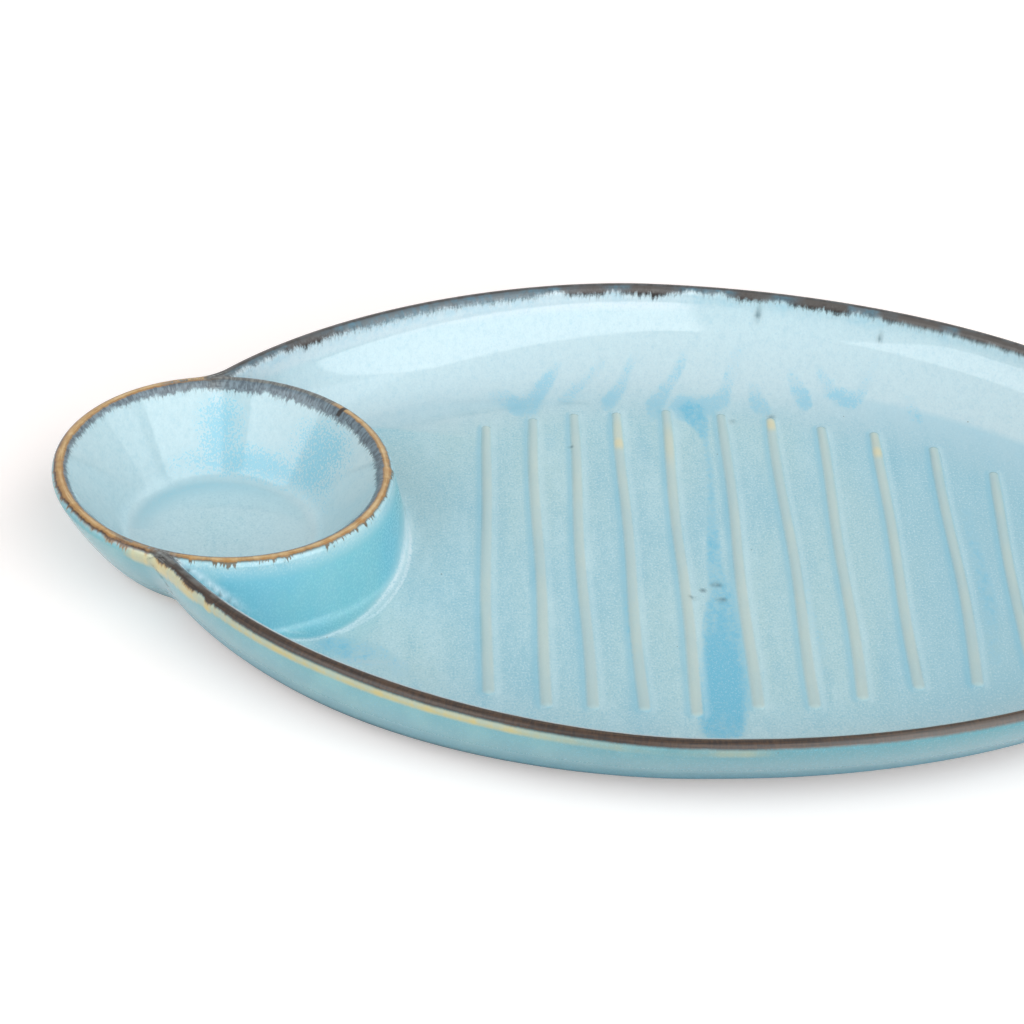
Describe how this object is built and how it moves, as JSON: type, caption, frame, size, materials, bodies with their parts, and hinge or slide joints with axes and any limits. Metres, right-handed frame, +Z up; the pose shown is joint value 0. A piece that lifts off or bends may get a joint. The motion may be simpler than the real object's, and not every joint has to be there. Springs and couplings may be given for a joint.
{
  "type": "chip and dip tray",
  "caption": "Egg-shaped glazed stoneware serving dish with a flared rim, raised ribs across its floor and a round dip bowl set into its blunt end.",
  "frame": {"origin": "on the table, under the middle of the whole piece in plan", "axes": "+X along the dish, from the dip bowl to the round end; +Y along the ribs; +Z up"},
  "size_m": [0.3739, 0.251, 0.0313],
  "materials": {
    "aqua_glaze": "glossy mottled aqua glaze that breaks to brown at the rims",
    "trailed_slip": "glossy cream-green where the glaze thins over the ribs",
    "bare_clay": "matte unglazed stoneware"
  },
  "bodies": {
    "root": {"tray_shell": "aqua_glaze", "dip_bowl": "aqua_glaze", "rib_01": "trailed_slip", "rib_02": "trailed_slip", "rib_03": "trailed_slip", "rib_04": "trailed_slip", "rib_05": "trailed_slip", "rib_06": "trailed_slip", "rib_07": "trailed_slip", "rib_08": "trailed_slip", "rib_09": "trailed_slip", "rib_10": "trailed_slip", "rib_11": "trailed_slip", "rib_12": "trailed_slip", "tray_foot_ring": "bare_clay", "bowl_foot_ring": "bare_clay"}
  },
  "joints": []
}
